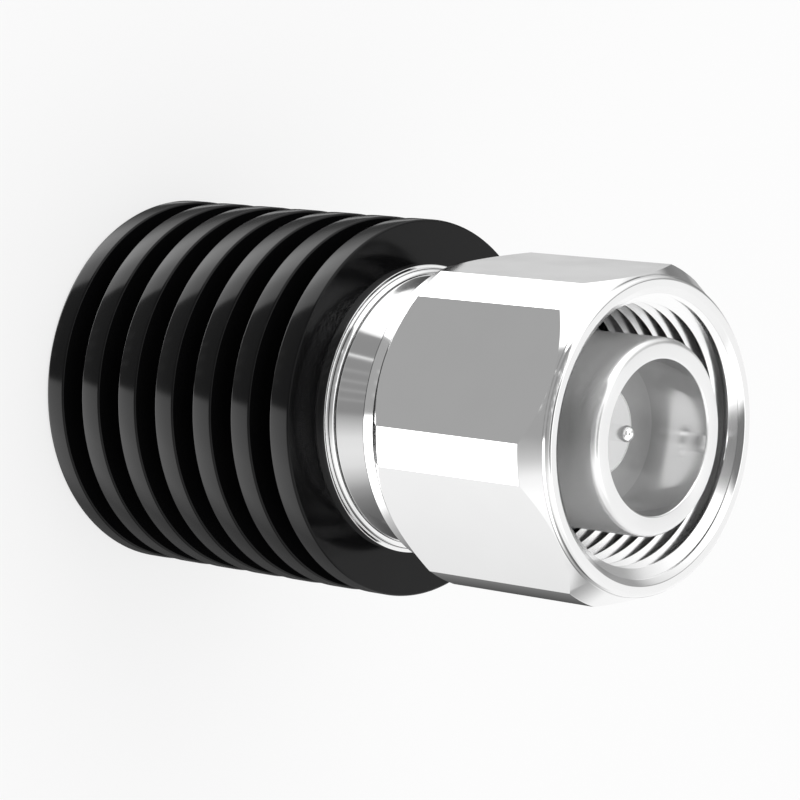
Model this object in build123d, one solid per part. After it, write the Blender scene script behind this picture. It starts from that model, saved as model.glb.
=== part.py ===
from build123d import *
import math
import os

# A coaxial dummy load. It stands on its flat rear end: the origin is the middle of that end,
# and +Z runs along the axis to the connector. All sizes are in millimetres.

# Fits between the pieces
seat_clearance = 0.02       # radial gap where one piece is pressed or screwed into another
running_clearance = 0.05    # radial gap where the nut turns on the neck
ring_play = 0.15            # free space round the snap ring in the nut's groove
overrun = 1.0               # how far a cut runs past the surface it opens

# The coaxial line inside: a pin in a round bore, with air between them
line_bore = 7.0
line_pin = 3.04
line_ohms = 50.0
ohms_per_ratio = 60.0       # an air line's resistance is this value times ln(bore / pin)

# The film resistor
rod_diameter = 2.5
rod_length = 10.0
cap_floor = 0.8
cap_overlap = 2.4
plug_diameter = 1.52        # spigot of the front cap, in the pin's socket
plug_length = 2.8
socket_spare = 0.2          # free depth behind the spigot
socket_slot = 0.3
taper_steps = 6

# The collet that earths the resistor
collet_diameter = 6.4
collet_length = 2.7
collet_slot = 0.35
collet_bridge = 0.6         # unslotted length that joins the fingers
slot_count = 4

# The heat sink
fin_diameter = 22.0
fin_count = 7
fin_thickness = 1.5
fin_gap = 1.6
fin_edge = 0.15             # chamfer on both corners of a fin
foot_edge = 0.3             # chamfer round the rear end
sink_floor = 2.5
sleeve_wall = 1.6
spigot_shoulder = 1.4       # the body's thread is this much larger in radius than the sleeve
core_wall = 1.3

# The connector body: flange, ring and neck
flange_diameter = 16.8
flange_thickness = 0.33
ring_diameter = 16.4
ring_thickness = 0.42
cone_foot_diameter = 15.7   # the shoulder's cone where it meets the ring, before the fillet
cone_fillet = 0.42
cone_gap = 0.15             # from the small end of the cone to the nut
neck_wall = 1.7             # between the tube's thread and the outside of the neck
seal_section = 0.75
seal_flats = 12             # flats that stand for the round section of a seal
seal_groove = 0.95
flange_seal_inset = 0.4     # from the flange to the seal's groove in the spigot

# The contact tube
contact_bore = 8.67
contact_depth = 4.0         # from the tube's mouth down to the bead
bead_lip = 0.265
spigot_wall = 0.6
tube_shoulder = 0.35
tube_thread = 4.0
tube_face_radius = 0.42     # rounding of the mouth's outer edge
bore_edge = 0.12            # chamfer of the mouth's inner edge
tube_proud = 0.4            # how far the tube stands out of the nut

# The insulators and the pin
bead_length = 2.4
bead_recess_diameter = 4.2
bead_recess = 0.8
bead_hole = 1.6
rear_bead_length = 1.6
rear_bead_hole = 2.0
rear_bead_spare = 0.2       # the rear bead ends this far inside the body
bead_slit = 0.2
tip_diameter = 0.95
pin_recess = 1.88           # from the tube's mouth back to the pin's tip

# The gasket
gasket_width = 1.65
gasket_thickness = 1.4
gasket_undercut = 0.2       # depth of the tube's undercut that holds it

# The coupling nut
across_flats = 18.0
corner_diameter = 19.6
nut_standoff = 3.65         # from the heat sink to the nut
nut_length = 13.7
nut_lip = 3.75              # length of the plain bore that runs on the neck
neck_reach = 0.7            # how far the neck's end stands past that lip
thread_major = 15.875       # five eighths of an inch, 24 turns to the inch
mouth_diameter = 16.6
face_diameter = 17.9
front_land = 0.45           # straight stretch between the front end and its cone
front_cone = 1.0
rear_face_diameter = 17.46
rear_edge = 0.2             # chamfer round the rear end
rear_land_diameter = 17.7   # the land widens to this where it meets the cone
rear_land = 0.8
rear_cone = 1.15
lip_edge = 0.2

# The snap ring
ring_width = 0.8
ring_seat = 0.75            # depth of its groove in the neck
ring_stand = 0.5            # how far it stands out of the neck
ring_centre = 2.4           # from the nut's rear end
ring_split = 1.6

# Radii and heights worked out from the sizes above
bore_radius = line_bore / 2
pin_radius = line_pin / 2
sleeve_radius = bore_radius + sleeve_wall
spigot_radius = sleeve_radius + spigot_shoulder
core_radius = spigot_radius + core_wall
bead_radius = contact_bore / 2 + bead_lip
tube_thread_radius = bead_radius + spigot_wall
tube_radius = tube_thread_radius + tube_shoulder
gasket_seat = tube_radius - gasket_undercut
neck_radius = tube_thread_radius + neck_wall

stack_length = rod_length + 2 * cap_floor
sink_length = fin_count * fin_thickness + (fin_count - 1) * fin_gap
stack_top = sink_floor + stack_length
nut_rear = sink_length + nut_standoff
nut_front = nut_rear + nut_length
neck_front = nut_rear + nut_lip + neck_reach
gasket_front = neck_front + gasket_thickness
tube_rear = neck_front - tube_thread
tube_front = nut_front + tube_proud
bead_front = tube_front - contact_depth
bead_rear = bead_front - bead_length
pin_tip = tube_front - pin_recess
ring_height = nut_rear + ring_centre
neck_seal_height = (nut_rear + ring_height - ring_width / 2 - ring_play) / 2
rear_bead_front = tube_rear - rear_bead_spare
rear_bead_rear = rear_bead_front - rear_bead_length


def turned_from(edges):
    """A turned solid. Its outline is made of lines and arcs drawn flat, as (radius, height),
    and is stood up beside the axis before it is spun."""
    return revolve(Plane.XZ * make_face(edges), Axis.Z)


def turned(outline):
    """A turned solid whose outline has straight sides only, given by its corners."""
    return turned_from(Polyline(*outline, close=True))


def ring(inner, outer, low, high):
    return turned([(inner, low), (outer, low), (outer, high), (inner, high)])


def disc(radius, low, high):
    return ring(0, radius, low, high)


def cross_slots(count, width, reach, low, high):
    """Radial saw cuts from the axis outwards, evenly spread round the axis."""
    slots = []
    for index in range(count):
        cut = Pos(reach / 2, 0, (low + high) / 2) * Box(reach, width, high - low)
        slots.append(Rot(0, 0, index * 360 / count) * cut)
    return slots


def heat_sink():
    """A bar turned to seven fins, bored from the front for the sleeve and the body's thread."""
    fin_radius = fin_diameter / 2
    outline = [(0, 0), (fin_radius - foot_edge, 0), (fin_radius, foot_edge)]
    for index in range(fin_count):
        low = index * (fin_thickness + fin_gap)
        high = low + fin_thickness
        if index > 0:
            outline += [(core_radius, low), (fin_radius - fin_edge, low), (fin_radius, low + fin_edge)]
        outline += [(fin_radius, high - fin_edge), (fin_radius - fin_edge, high)]
        if index < fin_count - 1:
            outline += [(core_radius, high)]
    outline += [
        (spigot_radius, sink_length),
        (spigot_radius, stack_top),
        (sleeve_radius, stack_top),
        (sleeve_radius, sink_floor),
        (0, sink_floor),
    ]
    return turned(outline)


def taper_sleeve():
    """The outer conductor round the resistor. Its bore narrows so that the line's resistance
    falls in step with what is left of the film, from the full value to nothing."""
    outer = sleeve_radius - seat_clearance
    taper_low = sink_floor + cap_floor + cap_overlap
    taper_high = stack_top - cap_floor - cap_overlap
    curve = []
    for step in range(taper_steps + 1):
        share = step / taper_steps
        height = taper_low + share * (taper_high - taper_low)
        left = line_ohms * (1 - share)
        curve.append((bore_radius * math.exp(-left / ohms_per_ratio) + seat_clearance, height))
    grip = curve[0][0]
    mouth = curve[-1][0]
    collet_seat = collet_diameter / 2
    collet_top = sink_floor + collet_length
    edges = [
        Polyline((grip, taper_low), (grip, collet_top), (collet_seat, collet_top),
                 (collet_seat, sink_floor), (outer, sink_floor), (outer, stack_top),
                 (mouth, stack_top), (mouth, taper_high)),
        Spline(*curve),
    ]
    return turned_from(edges)


def ground_collet():
    """A slotted ring in the sleeve's rear end, its fingers round the resistor's rear cap."""
    blank = ring(pin_radius + seat_clearance, collet_diameter / 2 - seat_clearance,
                 sink_floor, sink_floor + collet_length)
    low = sink_floor + collet_bridge
    return blank - cross_slots(slot_count, collet_slot, collet_diameter, low, sink_floor + collet_length)


def end_cap(closed_end, direction):
    """A thimble over one end of the rod. Its closed end is at the given height, and it opens
    upwards (direction 1) or downwards (direction -1)."""
    rod_end = closed_end + direction * cap_floor
    lip = rod_end + direction * cap_overlap
    inner = rod_diameter / 2 + seat_clearance
    return turned([(0, closed_end), (pin_radius, closed_end), (pin_radius, lip), (inner, lip),
                   (inner, rod_end), (0, rod_end)])


def rear_cap():
    return end_cap(sink_floor, 1)


def front_cap():
    return end_cap(stack_top, -1) + disc(plug_diameter / 2, stack_top, stack_top + plug_length)


def resistor_rod():
    low = sink_floor + cap_floor
    return disc(rod_diameter / 2, low, low + rod_length)


def seal(inner, height):
    """An O-ring whose hole has the given radius. Flats stand for its round section."""
    section = seal_section / 2 - seat_clearance
    middle = inner + seat_clearance + section
    reach = section / math.cos(math.pi / seal_flats)
    outline = []
    for index in range(seal_flats):
        turn = (2 * index + 1) * math.pi / seal_flats
        outline.append((middle + reach * math.cos(turn), height + reach * math.sin(turn)))
    return turned(outline)


def connector_body():
    """The plated body: a spigot in the heat sink, a thin flange with a ring on it, and a coned
    shoulder down to the neck that carries the nut."""
    spigot = spigot_radius - seat_clearance
    flange_radius = flange_diameter / 2
    ring_radius = ring_diameter / 2
    flange_top = sink_length + flange_thickness
    ring_top = flange_top + ring_thickness
    cone_foot = cone_foot_diameter / 2
    cone_top = nut_rear - cone_gap
    lean = math.atan2(cone_foot - neck_radius, cone_top - ring_top)
    run_out = cone_fillet * math.tan((math.pi / 2 - lean) / 2)
    fillet_start = (cone_foot + run_out, ring_top)
    fillet_end = (cone_foot - run_out * math.sin(lean), ring_top + run_out * math.cos(lean))
    edges = [
        Polyline((bore_radius, stack_top), (spigot, stack_top), (spigot, sink_length),
                 (flange_radius, sink_length), (flange_radius, flange_top),
                 (ring_radius, flange_top), (ring_radius, ring_top), fillet_start),
        RadiusArc(fillet_start, fillet_end, cone_fillet),
        Polyline(fillet_end, (neck_radius, cone_top), (neck_radius, neck_front),
                 (tube_thread_radius, neck_front), (tube_thread_radius, tube_rear),
                 (bead_radius, tube_rear), (bead_radius, rear_bead_rear),
                 (bore_radius, rear_bead_rear), (bore_radius, stack_top)),
    ]
    blank = turned_from(edges)
    ring_half = ring_width / 2 + seat_clearance
    ring_groove = ring(neck_radius - ring_seat, neck_radius + overrun,
                       ring_height - ring_half, ring_height + ring_half)
    neck_groove = ring(neck_radius - seal_section, neck_radius + overrun,
                       neck_seal_height - seal_groove / 2, neck_seal_height + seal_groove / 2)
    spigot_groove_top = sink_length - flange_seal_inset
    spigot_groove = ring(spigot_radius - seal_section, spigot_radius + overrun,
                         spigot_groove_top - seal_groove, spigot_groove_top)
    return blank - [ring_groove, neck_groove, spigot_groove]


def flange_seal():
    return seal(spigot_radius - seal_section, sink_length - flange_seal_inset - seal_groove / 2)


def neck_seal():
    return seal(neck_radius - seal_section, neck_seal_height)


def snap_ring():
    """A split ring that sits in the neck's groove and stands out into the nut's."""
    low = ring_height - ring_width / 2
    high = ring_height + ring_width / 2
    blank = ring(neck_radius - ring_seat + seat_clearance, neck_radius + ring_stand, low, high)
    split = Pos(neck_radius, 0, ring_height) * Box(neck_radius, ring_split, 2 * ring_width)
    return blank - split


def contact_tube():
    """The outer contact: threaded at its rear and undercut for the gasket, with a lip that stops
    the front bead and a mouth that is rounded outside and broken inside."""
    spigot = tube_thread_radius - seat_clearance
    mouth = contact_bore / 2
    edges = [
        Polyline((tube_radius - tube_face_radius, tube_front), (mouth + bore_edge, tube_front),
                 (mouth, tube_front - bore_edge), (mouth, bead_front),
                 (bead_radius, bead_front), (bead_radius, tube_rear), (spigot, tube_rear),
                 (spigot, neck_front), (gasket_seat, neck_front), (gasket_seat, gasket_front),
                 (tube_radius, gasket_front), (tube_radius, tube_front - tube_face_radius)),
        RadiusArc((tube_radius, tube_front - tube_face_radius),
                  (tube_radius - tube_face_radius, tube_front), -tube_face_radius),
    ]
    return turned_from(edges)


def front_bead():
    """The insulator against the tube's lip, with a shallow recess round the pin."""
    blank = ring(bead_hole / 2 + seat_clearance, bead_radius - seat_clearance, bead_rear, bead_front)
    return blank - disc(bead_recess_diameter / 2, bead_front - bead_recess, bead_front + overrun)


def rear_bead():
    """A ring slit on one side, so that it can be sprung into the pin's undercut."""
    blank = ring(rear_bead_hole / 2 + seat_clearance, bead_radius - seat_clearance,
                 rear_bead_rear, rear_bead_front)
    slit = Pos(-bead_radius / 2, 0, (rear_bead_rear + rear_bead_front) / 2)
    return blank - slit * Box(bead_radius, bead_slit, 2 * rear_bead_length)


def bead_bush():
    """A plain sleeve with the line's bore, between the two beads."""
    return ring(bore_radius, bead_radius - seat_clearance, rear_bead_front, bead_rear)


def centre_pin():
    """One turned pin: a slotted socket for the resistor, an undercut for the rear bead, a step
    behind the front bead and a thin tip with a round nose."""
    tip = tip_diameter / 2
    step = bead_hole / 2
    waist = rear_bead_hole / 2
    socket = plug_diameter / 2 + seat_clearance
    socket_depth = plug_length + socket_spare
    recess_floor = bead_front - bead_recess
    edges = [
        Polyline((0, pin_tip), (0, stack_top + socket_depth), (socket, stack_top + socket_depth),
                 (socket, stack_top), (pin_radius, stack_top), (pin_radius, rear_bead_rear),
                 (waist, rear_bead_rear), (waist, rear_bead_front),
                 (pin_radius, rear_bead_front), (pin_radius, bead_rear), (step, bead_rear),
                 (step, recess_floor), (tip, recess_floor), (tip, pin_tip - tip)),
        RadiusArc((tip, pin_tip - tip), (0, pin_tip), -tip),
    ]
    slots = cross_slots(slot_count, socket_slot, line_pin, stack_top, stack_top + plug_length)
    return turned_from(edges) - slots


def face_gasket():
    """A soft ring on the neck's end, in the undercut at the root of the contact tube."""
    inner = gasket_seat + seat_clearance
    return ring(inner, inner + gasket_width, neck_front, gasket_front)


def coupling_nut():
    """A hexagon bar with its corners turned down, and a cone and a short round land at each end.
    It is bored to the bottom of its thread, with a lip that runs on the neck and a groove for
    the snap ring."""
    corner = corner_diameter / 2
    face = face_diameter / 2
    rear = rear_face_diameter / 2
    land = rear_land_diameter / 2
    cone_foot = nut_rear + rear_land
    outside = turned([
        (0, nut_rear), (rear - rear_edge, nut_rear), (rear, nut_rear + rear_edge),
        (land, cone_foot), (corner, cone_foot + rear_cone),
        (corner, nut_front - front_land - front_cone), (face, nut_front - front_land),
        (face, nut_front), (0, nut_front),
    ])
    bar = RegularPolygon(across_flats / 2, 6, major_radius=False)
    hexagon = Pos(0, 0, nut_rear) * extrude(bar, nut_length)
    lip = neck_radius + running_clearance
    groove = neck_radius + ring_stand + ring_play
    groove_half = ring_width / 2 + ring_play
    root = thread_major / 2
    mouth = mouth_diameter / 2
    lip_top = nut_rear + nut_lip
    low = nut_rear - overrun
    high = nut_front + overrun
    inside = turned([
        (0, low), (lip + lip_edge + overrun, low), (lip, nut_rear + lip_edge),
        (lip, ring_height - groove_half), (groove, ring_height - groove_half),
        (groove, ring_height + groove_half), (lip, ring_height + groove_half), (lip, lip_top),
        (root, lip_top), (root, nut_front - (mouth - root)), (mouth + overrun, high), (0, high),
    ])
    return (hexagon & outside) - inside


pieces = {
    "heat_sink": heat_sink,
    "taper_sleeve": taper_sleeve,
    "ground_collet": ground_collet,
    "rear_cap": rear_cap,
    "resistor_rod": resistor_rod,
    "front_cap": front_cap,
    "connector_body": connector_body,
    "flange_seal": flange_seal,
    "neck_seal": neck_seal,
    "snap_ring": snap_ring,
    "rear_bead": rear_bead,
    "bead_bush": bead_bush,
    "contact_tube": contact_tube,
    "front_bead": front_bead,
    "centre_pin": centre_pin,
    "face_gasket": face_gasket,
    "coupling_nut": coupling_nut,
}

os.makedirs("parts", exist_ok=True)
for name, make in pieces.items():
    export_step(make(), f"parts/{name}.step")
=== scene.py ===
# %% [markdown]
# A small coaxial dummy load, as it looks on the bench: a black finned heat sink, a plated
# body and a free-spinning hexagon nut round a bright contact tube. The solids that carry,
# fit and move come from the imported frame. This file gives the pieces that show their finish:
# fine rounded edges, a cut thread, turning marks, and the studio that polished metal needs.

# %% Load the frame
import math

import bmesh
import bpy
from mathutils import Matrix, Vector


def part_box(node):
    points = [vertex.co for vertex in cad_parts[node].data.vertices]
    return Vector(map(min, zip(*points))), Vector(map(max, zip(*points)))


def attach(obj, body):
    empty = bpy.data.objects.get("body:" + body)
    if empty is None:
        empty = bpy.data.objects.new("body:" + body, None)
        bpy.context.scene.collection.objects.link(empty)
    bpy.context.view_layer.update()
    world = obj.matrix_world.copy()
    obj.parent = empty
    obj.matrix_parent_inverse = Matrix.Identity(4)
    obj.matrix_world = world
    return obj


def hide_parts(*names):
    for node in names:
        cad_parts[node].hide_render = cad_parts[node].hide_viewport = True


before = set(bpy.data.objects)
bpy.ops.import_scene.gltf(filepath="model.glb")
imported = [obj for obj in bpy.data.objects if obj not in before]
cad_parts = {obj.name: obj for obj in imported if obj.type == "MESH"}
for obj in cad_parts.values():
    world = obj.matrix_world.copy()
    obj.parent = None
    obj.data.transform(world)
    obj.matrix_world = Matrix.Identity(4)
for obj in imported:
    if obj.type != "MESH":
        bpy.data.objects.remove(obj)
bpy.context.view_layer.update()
print("nodes in the frame:", len(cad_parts))

# %% [markdown]
# Every piece is drawn in millimetres, because an edge of a tenth of a millimetre is easier to
# read that way, and it is brought to metres as its last step. The outer radii and the heights
# are read from the frame. Bores, grooves and edges are given again further down, so they
# have to follow when the solids change.

# %% Sizes read from the frame
MM = 0.001


def reach(node):
    """A node's radius along X, its radius along Y, and its lowest and highest point, in mm."""
    low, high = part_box(node)
    return high.x / MM, high.y / MM, low.z / MM, high.z / MM


sink_radius, _, _, sink_top = reach("heat_sink")
_, _, sink_floor, stack_top = reach("taper_sleeve")
sleeve_radius = reach("taper_sleeve")[0]
flange_radius, _, _, neck_front = reach("connector_body")
tube_radius, _, tube_rear, tube_front = reach("contact_tube")
corner_radius, flat_distance, nut_rear, nut_front = reach("coupling_nut")
bead_radius, _, bead_rear, bead_front = reach("front_bead")
pin_radius, _, pin_rear, pin_tip = reach("centre_pin")
gasket_radius, _, _, gasket_front = reach("face_gasket")
print("heat sink", round(sink_radius, 3), "x", round(sink_top, 3), "mm")
print("nut", round(2 * flat_distance, 3), "mm across its flats")

# %% [markdown]
# The visible pieces are lathe work. A lathe part is its outline spun round the axis, and that
# is how it is made here: a few corners, the sharp ones broken by a small bevel while the
# outline is still a flat wire, then one full spin. Rounding the wire first keeps every ring
# of edges clean. A bevel modifier would have to find the same edges again by their angle.

# %% The lathe
ROUND_STEPS = 256        # steps of a full turn, fine enough for mirror reflections
SOFT_STEPS = 4           # steps of a broken corner
WIDE_STEPS = 10          # steps of a rounding that is wide enough to be seen as one
WIDE = 0.25
SHARP = math.radians(35)
MERGE = 1e-5


def outline(bm, corners):
    """A wire of (radius, height, rounding) corners. It closes on itself unless it starts on
    the axis."""
    verts = [bm.verts.new((radius, 0, height)) for radius, height, _ in corners]
    last = verts[:1] if corners[0][0] > 0 else []
    for start, end in zip(verts, verts[1:] + last):
        bm.edges.new((start, end))
    for vert, (_, _, rounding) in zip(verts, corners):
        if rounding:
            steps = WIDE_STEPS if rounding > WIDE else SOFT_STEPS
            bmesh.ops.bevel(bm, geom=[vert], offset=rounding, segments=steps,
                            affect="VERTICES", profile=0.5, material=-1, clamp_overlap=False)


def turned(corners, steps=ROUND_STEPS):
    """The turned shape of an outline, closed and with its faces pointing outwards."""
    bm = bmesh.new()
    outline(bm, corners)
    bmesh.ops.spin(bm, geom=bm.verts[:] + bm.edges[:], axis=(0, 0, 1), cent=(0, 0, 0),
                   steps=steps, angle=2 * math.pi, use_merge=True)
    bmesh.ops.remove_doubles(bm, verts=bm.verts, dist=MERGE)
    bmesh.ops.recalc_face_normals(bm, faces=bm.faces)
    return bm


def piece(bm, name, material, body, node, sharp=SHARP):
    """Takes a finished bmesh to metres, shades it smooth up to its sharp edges, and lets it
    stand for a node of the frame."""
    for face in bm.faces:
        face.smooth = True
    for edge in bm.edges:
        edge.smooth = edge.calc_face_angle(0) < sharp
    loose = sum(1 for edge in bm.edges if not edge.is_manifold)
    bmesh.ops.scale(bm, vec=(MM, MM, MM), verts=bm.verts)
    mesh = bpy.data.meshes.new(name)
    bm.to_mesh(mesh)
    bm.free()
    mesh.materials.append(material)
    obj = bpy.data.objects.new(name, mesh)
    bpy.context.scene.collection.objects.link(obj)
    even = obj.modifiers.new("even_normals", "WEIGHTED_NORMAL")
    even.keep_sharp = True
    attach(obj, body)
    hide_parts(node)
    print(name, "has", len(mesh.polygons), "faces and", loose, "open edges")
    return obj


# %% [markdown]
# Turned metal is never quite even. The tool leaves fine rings round the axis, and handling
# leaves cloudy patches that are a little duller. Both depend only on where a point lies: the
# rings on its radius and height, the clouds on its place. One node group works both out from
# the object's own coordinates, so each finish uses it with its own spacing and depth.

# %% The turning marks group
def socket(group, name, kind, direction, value=None):
    made = group.interface.new_socket(name=name, in_out=direction, socket_type=kind)
    if value is not None:
        made.default_value = value


def math_node(nodes, links, operation, first, second=None):
    """A Math node whose inputs are sockets or plain numbers. Returns its output."""
    node = nodes.new("ShaderNodeMath")
    node.operation = operation
    for index, value in enumerate((first, second)):
        if isinstance(value, bpy.types.NodeSocket):
            links.new(value, node.inputs[index])
        elif value is not None:
            node.inputs[index].default_value = value
    return node.outputs[0]


RING_DETAIL = 2.0
CLOUD_DETAIL = 3.0


def turning_marks():
    """Rings round Z and soft clouds. Spacings are in metres."""
    group = bpy.data.node_groups.new("turning_marks", "ShaderNodeTree")
    socket(group, "Ring spacing", "NodeSocketFloat", "INPUT", 0.0001)
    socket(group, "Cloud size", "NodeSocketFloat", "INPUT", 0.003)
    socket(group, "Rings", "NodeSocketFloat", "OUTPUT")
    socket(group, "Clouds", "NodeSocketFloat", "OUTPUT")
    socket(group, "Radius", "NodeSocketFloat", "OUTPUT")
    nodes, links = group.nodes, group.links
    given = nodes.new("NodeGroupInput")
    result = nodes.new("NodeGroupOutput")
    place = nodes.new("ShaderNodeTexCoord")
    split = nodes.new("ShaderNodeSeparateXYZ")
    links.new(place.outputs["Object"], split.inputs[0])
    squares = [math_node(nodes, links, "MULTIPLY", split.outputs[i], split.outputs[i]) for i in (0, 1)]
    radius = math_node(nodes, links, "SQRT", math_node(nodes, links, "ADD", *squares))
    flat = nodes.new("ShaderNodeCombineXYZ")
    links.new(radius, flat.inputs[0])
    links.new(split.outputs[2], flat.inputs[1])
    rings = nodes.new("ShaderNodeTexNoise")
    rings.noise_dimensions = "2D"
    rings.inputs["Detail"].default_value = RING_DETAIL
    links.new(flat.outputs[0], rings.inputs["Vector"])
    links.new(math_node(nodes, links, "DIVIDE", 1.0, given.outputs["Ring spacing"]), rings.inputs["Scale"])
    clouds = nodes.new("ShaderNodeTexNoise")
    clouds.inputs["Detail"].default_value = CLOUD_DETAIL
    links.new(place.outputs["Object"], clouds.inputs["Vector"])
    links.new(math_node(nodes, links, "DIVIDE", 1.0, given.outputs["Cloud size"]), clouds.inputs["Scale"])
    links.new(rings.outputs["Fac"], result.inputs["Rings"])
    links.new(clouds.outputs["Fac"], result.inputs["Clouds"])
    links.new(radius, result.inputs["Radius"])
    return group


marks_group = turning_marks()
print("group", marks_group.name, "puts out", [s.name for s in marks_group.interface.items_tree
                                              if s.in_out == "OUTPUT"])

# %% [markdown]
# A finish is a Principled shader with what is the same all over set on its own sockets. The
# group's clouds move the colour and the roughness a little, and its rings go through a Bump
# node. The depth of a ring is a real depth, in metres: the plated pieces have marks of about
# a fifth of a micrometre, the plainly turned brass ones about seven times that.

# %% One finish
FIRST_COLOUR, SECOND_COLOUR, MIXED_COLOUR = 6, 7, 2     # the Mix node's sockets for colours
CLOUD_LOW, CLOUD_HIGH = 0.3, 0.7                        # most of the clouds' values lie between these


def grey(level):
    return (level, level, level)


def finish(name, tones, rough, metallic, ring_spacing, ring_depth, cloud_size=0.003, **sockets):
    """A material whose colour and roughness run between two values with the clouds."""
    material = bpy.data.materials.new(name)
    material.use_nodes = True
    nodes, links = material.node_tree.nodes, material.node_tree.links
    shader = nodes["Principled BSDF"]
    shader.inputs["Metallic"].default_value = metallic
    for label, value in sockets.items():
        shader.inputs[label.replace("_", " ")].default_value = value
    marks = nodes.new("ShaderNodeGroup")
    marks.node_tree = marks_group
    marks.inputs["Ring spacing"].default_value = ring_spacing
    marks.inputs["Cloud size"].default_value = cloud_size
    colour = nodes.new("ShaderNodeMix")
    colour.data_type = "RGBA"
    for index, tone in zip((FIRST_COLOUR, SECOND_COLOUR), tones):
        colour.inputs[index].default_value = (*tone, 1.0)
    links.new(marks.outputs["Clouds"], colour.inputs[0])
    links.new(colour.outputs[MIXED_COLOUR], shader.inputs["Base Color"])
    spread = nodes.new("ShaderNodeMapRange")
    spread.inputs["From Min"].default_value = CLOUD_LOW
    spread.inputs["From Max"].default_value = CLOUD_HIGH
    spread.inputs["To Min"].default_value = rough[0]
    spread.inputs["To Max"].default_value = rough[1]
    links.new(marks.outputs["Clouds"], spread.inputs["Value"])
    links.new(spread.outputs["Result"], shader.inputs["Roughness"])
    bump = nodes.new("ShaderNodeBump")
    bump.inputs["Strength"].default_value = 1.0
    bump.inputs["Distance"].default_value = ring_depth
    links.new(marks.outputs["Rings"], bump.inputs["Height"])
    links.new(bump.outputs["Normal"], shader.inputs["Normal"])
    return material


MICRON = 1e-6
black_anodised = finish("black_anodised", ((0.0025, 0.0025, 0.0027), (0.0045, 0.0045, 0.0048)),
                        (0.10, 0.15), 0.0, 0.00016, 0.2 * MICRON, Specular_IOR_Level=0.17)
bright_plating = finish("bright_plating", (grey(0.80), grey(0.84)),
                        (0.06, 0.11), 1.0, 0.00012, 0.25 * MICRON)
tube_plating = finish("tube_plating", (grey(0.80), grey(0.85)),
                      (0.18, 0.23), 1.0, 0.00012, 0.2 * MICRON, Anisotropic=1.0, Anisotropic_Rotation=0.25)
nut_plating = finish("nut_plating", (grey(0.80), grey(0.84)),
                     (0.07, 0.12), 1.0, 0.00015, 0.2 * MICRON)
silvered_pin = finish("silvered_pin", (grey(0.92), grey(0.96)),
                      (0.10, 0.14), 1.0, 0.00008, 0.2 * MICRON)
turned_brass = finish("turned_brass", ((0.70, 0.52, 0.24), (0.78, 0.60, 0.30)),
                      (0.20, 0.32), 1.0, 0.00015, 1.5 * MICRON)
spring_bronze = finish("spring_bronze", ((0.64, 0.42, 0.22), (0.72, 0.49, 0.27)),
                       (0.22, 0.34), 1.0, 0.0001, 1.0 * MICRON)
silvered_caps = finish("silvered_caps", ((0.80, 0.79, 0.77), (0.87, 0.86, 0.83)),
                       (0.18, 0.30), 1.0, 0.0001, 0.8 * MICRON)
ceramic_film = finish("ceramic_film", ((0.20, 0.18, 0.16), (0.34, 0.31, 0.28)),
                      (0.30, 0.45), 0.0, 0.00025, 2.0 * MICRON, cloud_size=0.0012)
bead_plastic = finish("bead_plastic", (grey(0.30), grey(0.38)),
                      (0.12, 0.20), 0.0, 0.0001, 1.5 * MICRON, cloud_size=0.0015)
gasket_silicone = finish("gasket_silicone", ((0.30, 0.30, 0.31), (0.38, 0.38, 0.39)),
                         (0.50, 0.65), 0.0, 0.0002, 2.0 * MICRON, cloud_size=0.0006)
seal_rubber = finish("seal_rubber", (grey(0.020), grey(0.035)),
                     (0.45, 0.60), 0.0, 0.0002, 2.0 * MICRON, cloud_size=0.0006)


THREAD_ZONE = 0.00792     # radii in metres, within which a finish changes
CONTACT_ZONE = 0.0045
RECESS_ZONE = 0.00252
# The bead's pale centre is its own colour. On the nut the same pale tone is painted light, lifting the shade
# in the thread's grooves.
PALE_DISC_AND_THREAD_LIFT = 0.90


def inner_mask(material, limit):
    """Within a radius of the axis, in metres, this is 1."""
    nodes, links = material.node_tree.nodes, material.node_tree.links
    marks = next(node for node in nodes if node.type == "GROUP")
    return math_node(nodes, links, "LESS_THAN", marks.outputs["Radius"], limit)


def shift_roughness_inside(material, limit, extra):
    """Makes a finish duller within a radius, or shinier where the extra is below zero."""
    nodes, links = material.node_tree.nodes, material.node_tree.links
    rough = nodes["Principled BSDF"].inputs["Roughness"]
    more = math_node(nodes, links, "MULTIPLY", inner_mask(material, limit), extra)
    links.new(math_node(nodes, links, "ADD", rough.links[0].from_socket, more), rough)


def tone_inside(material, limit, tone):
    """Gives a finish one even colour within a radius."""
    nodes, links = material.node_tree.nodes, material.node_tree.links
    base = nodes["Principled BSDF"].inputs["Base Color"]
    mix = nodes.new("ShaderNodeMix")
    mix.data_type = "RGBA"
    mix.inputs[SECOND_COLOUR].default_value = (*tone, 1.0)
    links.new(inner_mask(material, limit), mix.inputs[0])
    links.new(base.links[0].from_socket, mix.inputs[FIRST_COLOUR])
    links.new(mix.outputs[MIXED_COLOUR], base)


shift_roughness_inside(nut_plating, THREAD_ZONE, 0.07)
shift_roughness_inside(tube_plating, CONTACT_ZONE, -0.09)
tone_inside(bead_plastic, RECESS_ZONE, grey(PALE_DISC_AND_THREAD_LIFT))
# Painted light: the nut's plating is paler within the thread, standing in for light that reaches the thread's
# shaded grooves.
tone_inside(nut_plating, THREAD_ZONE, grey(PALE_DISC_AND_THREAD_LIFT))
print("finishes:", len(bpy.data.materials))

# %% [markdown]
# The heat sink is one aluminium bar. Six grooves part seven fins, and black anodising covers
# all of it. Its outline is a loop over the fins. The bore that takes the sleeve and the body
# is cut too, so that the piece is a true shell and not a closed block.

# %% The heat sink
FIN_COUNT = 7
FIN_THICKNESS = 1.5
FIN_GAP = 1.6
FIN_EDGE = 0.13
FOOT_EDGE = 0.3
CORE_RADIUS = 7.8
SPIGOT_RADIUS = 6.5
GROOVE_EDGE = 0.12


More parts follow.
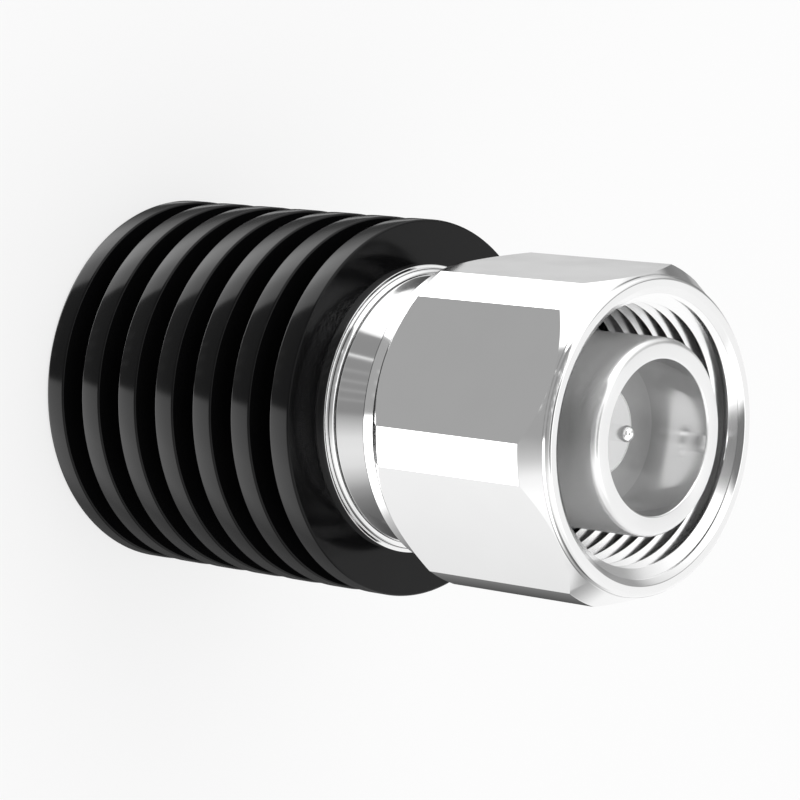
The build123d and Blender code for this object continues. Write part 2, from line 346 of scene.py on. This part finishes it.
def sink_outline():
    corners = [(0, 0, 0)]
    for index in range(FIN_COUNT):
        low = index * (FIN_THICKNESS + FIN_GAP)
        high = low + FIN_THICKNESS
        if index > 0:
            corners.append((CORE_RADIUS, low, GROOVE_EDGE))
        corners.append((sink_radius, low, FIN_EDGE if index else FOOT_EDGE))
        corners.append((sink_radius, high, FIN_EDGE))
        if index < FIN_COUNT - 1:
            corners.append((CORE_RADIUS, high, GROOVE_EDGE))
    corners += [(SPIGOT_RADIUS, sink_top, 0), (SPIGOT_RADIUS, stack_top, 0),
                (sleeve_radius, stack_top, 0), (sleeve_radius, sink_floor, 0), (0, sink_floor, 0)]
    return corners


piece(turned(sink_outline()), "finned_heat_sink", black_anodised, "load", "heat_sink")

# %% [markdown]
# The body is brass, turned and plated bright. What shows of it is a thin flange against the
# heat sink, a ring on the flange, and a cone down to the neck on which the nut spins. The
# fillet at the cone's foot is a bevel on the hollow corner of the outline, made like the
# small breaks on its sharp corners, only wider.

# %% The connector body
FLANGE_THICKNESS = 0.33
RING_RADIUS = 8.2
RING_THICKNESS = 0.42
RING_EDGE = 0.33
CONE_FOOT_RADIUS = 7.85
CONE_FILLET = 0.42
CONE_GAP = 0.15
NECK_RADIUS = 6.9
TUBE_THREAD_RADIUS = 5.2
LINE_BORE_RADIUS = 3.5
FINE_EDGE = 0.04
RING_GROOVE_FLOOR = 6.15
SEAT_CLEARANCE = 0.02
flange_top = sink_top + FLANGE_THICKNESS
ring_top = flange_top + RING_THICKNESS
snap_low, snap_high = (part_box("snap_ring")[i].z / MM for i in (0, 1))
seal_low, seal_high = (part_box("neck_seal")[i].z / MM for i in (0, 1))
rear_bead_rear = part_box("rear_bead")[0].z / MM


def body_outline():
    spigot = SPIGOT_RADIUS - SEAT_CLEARANCE
    corners = [
        (LINE_BORE_RADIUS, stack_top, 0), (spigot, stack_top, 0), (spigot, sink_top, 0),
        (flange_radius, sink_top, 0), (flange_radius, flange_top, FINE_EDGE),
        (RING_RADIUS, flange_top, FINE_EDGE), (RING_RADIUS, ring_top, RING_EDGE),
        (CONE_FOOT_RADIUS, ring_top, CONE_FILLET), (NECK_RADIUS, nut_rear - CONE_GAP, 0),
    ]
    for low, high in ((seal_low, seal_high), (snap_low, snap_high)):
        corners += [(NECK_RADIUS, low - SEAT_CLEARANCE, 0), (RING_GROOVE_FLOOR, low - SEAT_CLEARANCE, 0),
                    (RING_GROOVE_FLOOR, high + SEAT_CLEARANCE, 0), (NECK_RADIUS, high + SEAT_CLEARANCE, 0)]
    corners += [
        (NECK_RADIUS, neck_front, FINE_EDGE), (TUBE_THREAD_RADIUS, neck_front, 0),
        (TUBE_THREAD_RADIUS, tube_rear, 0), (bead_radius, tube_rear, 0),
        (bead_radius, rear_bead_rear, 0), (LINE_BORE_RADIUS, rear_bead_rear, 0),
    ]
    return corners


piece(turned(body_outline()), "plated_body", bright_plating, "load", "connector_body")

# %% [markdown]
# The contact tube is the bright ring in the middle of the mouth. Its outer edge is well
# rounded, because the mating part slides over it, and its inner edge is only broken.

# %% The contact tube
CONTACT_BORE_RADIUS = 4.335
MOUTH_ROUNDING = 0.42
BORE_EDGE = 0.12
GASKET_SEAT_RADIUS = 5.35


def tube_outline():
    spigot = TUBE_THREAD_RADIUS - SEAT_CLEARANCE
    return [
        (CONTACT_BORE_RADIUS, tube_front, BORE_EDGE), (CONTACT_BORE_RADIUS, bead_front, 0),
        (bead_radius + SEAT_CLEARANCE, bead_front, 0), (bead_radius + SEAT_CLEARANCE, tube_rear, 0),
        (spigot, tube_rear, 0), (spigot, neck_front, 0), (GASKET_SEAT_RADIUS, neck_front, 0),
        (GASKET_SEAT_RADIUS, gasket_front, 0), (tube_radius, gasket_front, 0),
        (tube_radius, tube_front, MOUTH_ROUNDING),
    ]


piece(turned(tube_outline()), "outer_contact", tube_plating, "load", "contact_tube")

# %% [markdown]
# Inside the tube a plastic bead holds the centre pin. It has a shallow round recess, so that
# the line keeps its impedance where the pin steps down. The pin ends in a full round nose.

# %% The bead, the pin and the gasket
RECESS_RADIUS = 2.5
RECESS_DEPTH = 0.08
BEAD_HOLE_RADIUS = 0.82
BEAD_EDGE = 0.03
TIP_RADIUS = 0.475
NOSE_SHARE = 0.98          # the part of its radius by which the pin's end is rounded
STEP_RADIUS = 0.8
SOCKET_RADIUS = 0.78
SOCKET_DEPTH = 3.0
SMALL_STEPS = 96
GASKET_EDGE = 0.2


def bead_outline():
    recess_floor = bead_front - RECESS_DEPTH
    return [
        (BEAD_HOLE_RADIUS, bead_rear, 0), (bead_radius, bead_rear, 0), (bead_radius, bead_front, 0),
        (RECESS_RADIUS, bead_front, BEAD_EDGE), (RECESS_RADIUS, recess_floor, BEAD_EDGE),
        (BEAD_HOLE_RADIUS, recess_floor, 0),
    ]


def pin_outline():
    recess_floor = bead_front - RECESS_DEPTH
    return [
        (0, pin_tip, 0), (TIP_RADIUS, pin_tip, TIP_RADIUS * NOSE_SHARE), (TIP_RADIUS, recess_floor, 0),
        (STEP_RADIUS, recess_floor, 0), (STEP_RADIUS, bead_rear, 0), (pin_radius, bead_rear, 0),
        (pin_radius, pin_rear, 0), (SOCKET_RADIUS, pin_rear, 0), (SOCKET_RADIUS, pin_rear + SOCKET_DEPTH, 0),
        (0, pin_rear + SOCKET_DEPTH, 0),
    ]


def gasket_outline():
    inner = GASKET_SEAT_RADIUS + SEAT_CLEARANCE
    return [(inner, neck_front, 0), (gasket_radius, neck_front, GASKET_EDGE),
            (gasket_radius, gasket_front, GASKET_EDGE), (inner, gasket_front, 0)]


piece(turned(bead_outline()), "bead_insulator", bead_plastic, "load", "front_bead")
piece(turned(pin_outline(), SMALL_STEPS), "pin_contact", silvered_pin, "load", "centre_pin")
piece(turned(gasket_outline()), "soft_gasket", gasket_silicone, "load", "face_gasket")

# %% [markdown]
# The nut starts as a turned blank with a short round land and a cone at each end. Then its
# six flats are cut, as on the real one: a plane slices the blank, what lies outside is thrown
# away, and the hole that is left is closed by one flat face. The curved edge where a flat
# meets a cone comes out by itself. Starting from a hexagon and cutting cones into it would
# take more steps.

# %% The nut's blank and flats
NUT_LIP = 3.75
RUN_CLEARANCE = 0.05
SNAP_STAND = 0.65
SNAP_PLAY = 0.15
THREAD_ROOT = 7.9375
MOUTH_RADIUS = 8.3
FACE_RADIUS = 8.95
FRONT_LAND = 0.45
FRONT_CONE = 1.0
REAR_EDGE = 0.1
REAR_LAND_RADIUS = 8.82
REAR_LAND = 0.8
REAR_CONE = 1.15
NUT_EDGE = 0.05
FACE_EDGE = 0.3
LEAD_SLOPE = math.tan(math.radians(30))
FLAT_COUNT = 6
TURNED_CORNERS = 8         # no face that a spin makes has more corners, and each flat has


def nut_blank():
    lip = NECK_RADIUS + RUN_CLEARANCE
    groove = NECK_RADIUS + SNAP_STAND
    cone_foot = nut_rear + REAR_LAND
    return turned([
        (lip, nut_rear, REAR_EDGE), (REAR_LAND_RADIUS, nut_rear, REAR_EDGE),
        (REAR_LAND_RADIUS, cone_foot, NUT_EDGE), (corner_radius, cone_foot + REAR_CONE, NUT_EDGE),
        (corner_radius, nut_front - FRONT_LAND - FRONT_CONE, NUT_EDGE),
        (FACE_RADIUS, nut_front - FRONT_LAND, NUT_EDGE), (FACE_RADIUS, nut_front, FACE_EDGE),
        (MOUTH_RADIUS, nut_front, NUT_EDGE),
        (THREAD_ROOT, nut_front - (MOUTH_RADIUS - THREAD_ROOT) * LEAD_SLOPE, 0),
        (THREAD_ROOT, nut_rear + NUT_LIP, 0), (lip, nut_rear + NUT_LIP, 0),
        (lip, snap_high + SNAP_PLAY, 0), (groove, snap_high + SNAP_PLAY, 0),
        (groove, snap_low - SNAP_PLAY, 0), (lip, snap_low - SNAP_PLAY, 0),
    ])


def cut_flats(bm):
    """Slices six flats off the blank. The first one faces along Y."""
    for index in range(FLAT_COUNT):
        turn = (index + 0.5) * 2 * math.pi / FLAT_COUNT
        out = Vector((math.cos(turn), math.sin(turn), 0))
        cut = bmesh.ops.bisect_plane(bm, geom=bm.verts[:] + bm.edges[:] + bm.faces[:], dist=MERGE,
                                     plane_co=out * flat_distance, plane_no=out, clear_outer=True)
        rim = [item for item in cut["geom_cut"] if isinstance(item, bmesh.types.BMEdge)]
        bmesh.ops.holes_fill(bm, edges=rim, sides=0)
    bmesh.ops.recalc_face_normals(bm, faces=bm.faces)


nut = nut_blank()
cut_flats(nut)
print("nut with", sum(1 for face in nut.faces if len(face.verts) > TURNED_CORNERS), "flats")

# %% [markdown]
# The thread is what catches the light inside the mouth, so it is real geometry. A spin that
# also climbs makes a helix: the ridge's section goes round about eight times and rises one
# pitch in each turn. The crest is then kept inside two cones, the lead-in chamfer at the mouth
# and a short one at the back, by moving its points outwards into the wall. Where the ridge
# runs out at the mouth it is squeezed flat inside the wall, and some of its edges stay open.

# %% The nut's thread
PITCH = 25.4 / 24
THREAD_CREST = 7.37
CREST_FLAT = 0.05
ROOT_SINK = 0.04
FLANK = math.tan(math.radians(30))
THREAD_LOW = 29.2
TURN_STEPS = 128
NUT_SHARP = math.radians(9)


def add_thread(bm):
    """Spins the ridge's section up the bore, inside the same mesh as the nut."""
    half_crest = CREST_FLAT / 2
    half_root = half_crest + (THREAD_ROOT - THREAD_CREST) * FLANK
    section = [(THREAD_ROOT, -half_root), (THREAD_CREST, -half_crest),
               (THREAD_CREST, half_crest), (THREAD_ROOT, half_root)]
    ridge = bmesh.new()
    verts = [ridge.verts.new((radius, 0, THREAD_LOW + height)) for radius, height in section]
    face = ridge.faces.new(verts)
    turns = (nut_front + half_root - THREAD_LOW) / PITCH
    bmesh.ops.spin(ridge, geom=[face], axis=(0, 0, 1), cent=(0, 0, 0), dvec=(0, 0, PITCH / TURN_STEPS),
                   steps=int(turns * TURN_STEPS), angle=turns * 2 * math.pi)
    rear_cone = THREAD_LOW + THREAD_CREST
    for vert in ridge.verts:
        radius = vert.co.xy.length
        vert.co.z = min(vert.co.z, nut_front - ROOT_SINK)
        lead_in = MOUTH_RADIUS - (nut_front - vert.co.z) / LEAD_SLOPE
        cut = max(radius, lead_in, rear_cone - vert.co.z)
        if cut > THREAD_ROOT - MERGE:
            cut += ROOT_SINK
        vert.co.xy *= cut / radius
    bmesh.ops.remove_doubles(ridge, verts=ridge.verts, dist=MERGE)
    bmesh.ops.recalc_face_normals(ridge, faces=ridge.faces)
    made = bpy.data.meshes.new("ridge")
    ridge.to_mesh(made)
    ridge.free()
    bm.from_mesh(made)
    bpy.data.meshes.remove(made)
    print("thread with", round(turns, 2), "turns of", round(PITCH, 4), "mm")


add_thread(nut)
piece(nut, "hexagon_nut", nut_plating, "nut", "coupling_nut", sharp=NUT_SHARP)

# %% [markdown]
# The pieces inside the body are never seen from outside, so their solids from the frame stay.
# Each one still gets its own finish, because the model can be opened.

# %% Finishes of the inner pieces
inner = {
    "taper_sleeve": turned_brass,
    "bead_bush": turned_brass,
    "ground_collet": spring_bronze,
    "snap_ring": spring_bronze,
    "rear_cap": silvered_caps,
    "front_cap": silvered_caps,
    "resistor_rod": ceramic_film,
    "rear_bead": bead_plastic,
    "flange_seal": seal_rubber,
    "neck_seal": seal_rubber,
}
for node, material in inner.items():
    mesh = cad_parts[node].data
    mesh.materials.clear()
    mesh.materials.append(material)
print("inner pieces finished:", len(inner))

# %% [markdown]
# The camera stands where the photographer's stood: a long lens, looking down at the load and
# rolled so that the axis runs across the picture. The floor is then the whole background.

# %% The camera
LENS = 169.2
CLIP_START = 0.005
CAMERA_PLACE = Vector((44.76, -156.92, 165.51))
CAMERA_RIGHT = Vector((-0.29977, 0.60521, 0.73747))
CAMERA_DOWN = Vector((0.93166, 0.35204, 0.08979))
camera = bpy.data.objects.new("camera", bpy.data.cameras.new("camera"))
bpy.context.scene.collection.objects.link(camera)
camera.data.lens = LENS
camera.data.clip_start = CLIP_START
back = CAMERA_RIGHT.cross(-CAMERA_DOWN)
camera.matrix_world = Matrix.LocRotScale(
    CAMERA_PLACE * MM, Matrix((CAMERA_RIGHT, -CAMERA_DOWN, back)).transposed(), Vector((1, 1, 1)))
bpy.context.scene.camera = camera
print("camera", round((CAMERA_PLACE * MM).length, 3), "m from the foot of the load")

# %% [markdown]
# Polished metal shows nothing but the room around it, so the room is the light. Two tall soft
# boxes stand left and right of a dim gap. The gap is what turns one flat of the nut grey and
# leaves the black rims dark between two highlights. The room is drawn in the world's shader
# by direction: three ramps round the compass, for rays that go down, level and up, then a
# ceiling that is dim right overhead. Rows of narrow lamps in the gap make the pale streaks on
# the neck. The levels were fitted to the photograph: how bright a turned surface looks there
# tells how bright the room is that it mirrors. They were then rounded and set one by one.
#
# Area lamps close to so small a part would bend the reflections, which the photograph doesn't
# show. Camera rays see plain white instead, and mirror rays the room, because with white all
# round the metal would look like paper. The price is that much of the metal's look comes from
# this room, and changes in another one.

# %% The studio
GAP_CENTRE = 265          # compass direction of the dim gap, in degrees from X towards Y
TOP_LEVEL = 5.0           # brightness at the top of a ramp
LOW_ROOM = [(-180, 0.10), (-137, 0.10), (-135, 0.74), (-127, 0.74), (-125, 0.12), (-113, 0.20), (-105, 0.33),
            (-96, 0.86), (-88, 1.5), (-80, 2.7), (-72, 3.7), (-60, 4.4), (-47, 3.4), (-33, 3.1),
            (-31, 0.44), (30.5, 0.44), (32.5, 3.0), (43, 3.2), (68, 3.3), (80, 2.8), (92, 2.3),
            (105, 1.35), (117, 0.72), (129, 0.52), (141, 0.40), (154, 0.27), (166, 0.17), (180, 0.10)]
MID_ROOM = [(-180, 1.15), (-147, 1.1), (-140, 0.30), (-124, 0.22), (-117, 0.7), (-104, 0.85), (-92, 1.1),
            (-75, 1.4), (-50, 1.6), (-33, 1.3), (-31, 0.32), (30.5, 0.30), (34, 0.45), (41, 0.65),
            (50, 0.90), (61, 0.95), (72, 0.88), (82, 0.65), (92, 0.38), (102, 0.25), (113, 0.18),
            (126, 0.14), (140, 0.6), (150, 1.1), (180, 1.15)]
HIGH_ROOM = [(-180, 1.1), (-142, 1.05), (-138, 0.40), (-126, 0.40), (-118, 0.90), (-105, 1.15), (-90, 1.5),
             (-60, 1.8), (-33, 1.5), (-31, 0.42), (30.5, 0.42), (36, 0.5), (46, 0.7), (56, 1.1),
             (70, 1.25), (100, 1.15), (119, 0.95), (133, 1.05), (150, 1.1), (180, 1.1)]
LOW_BLEND, HIGH_BLEND = (-37, -20), (4, 14)     # elevations between which two ramps blend
LAMPS = (
    (((-4, 0.5), (5, 0.5), (15, 0.5)), (-80, -70), (-50, -46)),
    (((-12.5, 0.9), (-1, 0.12), (7, 0.12), (14, 0.12), (21, 0.10)), (-24, -18), (12, 18)),
    (((-26, 1.2), (-17, 1.2), (-8, 1.2), (1, 1.2), (10, 1.2)), (38, 41), (52, 55)),
)                         # rows of narrow lamps in the gap: headings with levels, and elevations
LAMP_HALF_WIDTH = 1.6
CEILING = 1.5
CEILING_LIMITS = (52, 62)
ZENITH = 0.2
ZENITH_LIMITS = (73, 80)


def compass_ramp(nodes, links, heading, stops):
    """Brightness by heading. The stops are given in degrees from the middle of the gap."""
    turned_to_share = nodes.new("ShaderNodeMapRange")
    turned_to_share.inputs["From Min"].default_value = -math.pi
    turned_to_share.inputs["From Max"].default_value = math.pi
    links.new(heading, turned_to_share.inputs["Value"])
    ramp = nodes.new("ShaderNodeValToRGB")
    elements = ramp.color_ramp.elements
    while len(elements) < len(stops):
        elements.new(0.5)
    for element, (degrees, level) in zip(elements, stops):
        element.position = (degrees + 180) / 360
        element.color = (*grey(level / TOP_LEVEL), 1)
    links.new(turned_to_share.outputs["Result"], ramp.inputs["Fac"])
    return ramp.outputs["Color"]


def blend(nodes, links, share, first, second):
    mix = nodes.new("ShaderNodeMix")
    mix.data_type = "RGBA"
    links.new(share, mix.inputs[0])
    for index, value in ((FIRST_COLOUR, first), (SECOND_COLOUR, second)):
        if isinstance(value, bpy.types.NodeSocket):
            links.new(value, mix.inputs[index])
        else:
            mix.inputs[index].default_value = (*grey(value), 1)
    return mix.outputs[MIXED_COLOUR]


def between(nodes, links, value, low, high):
    """0 below one height of the ray's direction, 1 above another, smooth in between. The two
    are given as elevations in degrees."""
    step = nodes.new("ShaderNodeMapRange")
    step.interpolation_type = "SMOOTHSTEP"
    step.inputs["From Min"].default_value = math.sin(math.radians(low))
    step.inputs["From Max"].default_value = math.sin(math.radians(high))
    links.new(value, step.inputs["Value"])
    return step.outputs["Result"]


def lamp_row(nodes, links, heading, height, lamps, rise, fall):
    """The light of one row of narrow lamps, zero beside and between them."""
    stops = [(-180, 0)]
    for middle, level in lamps:
        stops += [(middle - LAMP_HALF_WIDTH, 0), (middle, level), (middle + LAMP_HALF_WIDTH, 0)]
    across = compass_ramp(nodes, links, heading, stops)
    window = math_node(nodes, links, "SUBTRACT", between(nodes, links, height, *rise),
                       between(nodes, links, height, *fall))
    return math_node(nodes, links, "MULTIPLY", across, window)


def studio():
    world = bpy.data.worlds.new("studio")
    world.use_nodes = True
    nodes, links = world.node_tree.nodes, world.node_tree.links
    background = nodes["Background"]
    direction = nodes.new("ShaderNodeTexCoord")
    face_gap = nodes.new("ShaderNodeVectorRotate")
    face_gap.rotation_type = "Z_AXIS"
    face_gap.inputs["Angle"].default_value = -math.radians(GAP_CENTRE)
    links.new(direction.outputs["Generated"], face_gap.inputs["Vector"])
    split = nodes.new("ShaderNodeSeparateXYZ")
    links.new(face_gap.outputs[0], split.inputs[0])
    heading = math_node(nodes, links, "ARCTAN2", split.outputs[1], split.outputs[0])
    room = blend(nodes, links, between(nodes, links, split.outputs[2], *LOW_BLEND),
                 compass_ramp(nodes, links, heading, LOW_ROOM), compass_ramp(nodes, links, heading, MID_ROOM))
    room = blend(nodes, links, between(nodes, links, split.outputs[2], *HIGH_BLEND),
                 room, compass_ramp(nodes, links, heading, HIGH_ROOM))
    room = blend(nodes, links, between(nodes, links, split.outputs[2], *CEILING_LIMITS),
                 room, CEILING / TOP_LEVEL)
    room = blend(nodes, links, between(nodes, links, split.outputs[2], *ZENITH_LIMITS),
                 room, ZENITH / TOP_LEVEL)
    for lamps, rise, fall in LAMPS:
        row = lamp_row(nodes, links, heading, split.outputs[2], lamps, rise, fall)
        room = math_node(nodes, links, "ADD", room, row)
    path = nodes.new("ShaderNodeLightPath")
    seen = blend(nodes, links, path.outputs["Is Camera Ray"], room, 1 / TOP_LEVEL)
    links.new(seen, background.inputs["Color"])
    background.inputs["Strength"].default_value = TOP_LEVEL
    bpy.context.scene.world = world


studio()
lamp_count = sum(len(row[0]) for row in LAMPS)
print("the dim gap faces", GAP_CENTRE, "degrees, with", lamp_count, "narrow lamps in it")

# %% [markdown]
# The floor is a plain pale sheet. Part of its brightness is its own, so that it reads as the
# photograph's white, and the rest is the studio's light, which keeps the soft shadow where the
# load stands. Mirror rays pass it by, so the metal shows the studio below it too.

# %% The floor
FLOOR_SIZE = 4.0
FLOOR_DROP = 0.00002
FLOOR_TONE = 0.85
OWN_LIGHT = 0.72


def floor_material():
    material = bpy.data.materials.new("pale_floor")
    material.use_nodes = True
    nodes, links = material.node_tree.nodes, material.node_tree.links
    nodes.remove(nodes["Principled BSDF"])
    lit = nodes.new("ShaderNodeBsdfDiffuse")
    lit.inputs["Color"].default_value = (*grey(FLOOR_TONE), 1)
    own = nodes.new("ShaderNodeEmission")
    path = nodes.new("ShaderNodeLightPath")
    share = math_node(nodes, links, "MULTIPLY", path.outputs["Is Camera Ray"], OWN_LIGHT)
    mix = nodes.new("ShaderNodeMixShader")
    links.new(share, mix.inputs[0])
    links.new(lit.outputs[0], mix.inputs[1])
    links.new(own.outputs[0], mix.inputs[2])
    links.new(mix.outputs[0], nodes["Material Output"].inputs["Surface"])
    return material


floor_mesh = bmesh.new()
bmesh.ops.create_grid(floor_mesh, x_segments=1, y_segments=1, size=FLOOR_SIZE,
                      matrix=Matrix.Translation((0, 0, -FLOOR_DROP)))
floor_data = bpy.data.meshes.new("floor")
floor_mesh.to_mesh(floor_data)
floor_mesh.free()
floor_data.materials.append(floor_material())
floor = bpy.data.objects.new("floor", floor_data)
bpy.context.scene.collection.objects.link(floor)
floor.visible_glossy = False
print("floor", FLOOR_SIZE * 2, "m wide")

# %% [markdown]
# Last come the plain view settings. Nothing after this cell may change a piece.

# %% Finish
bpy.context.scene.view_settings.view_transform = "Standard"
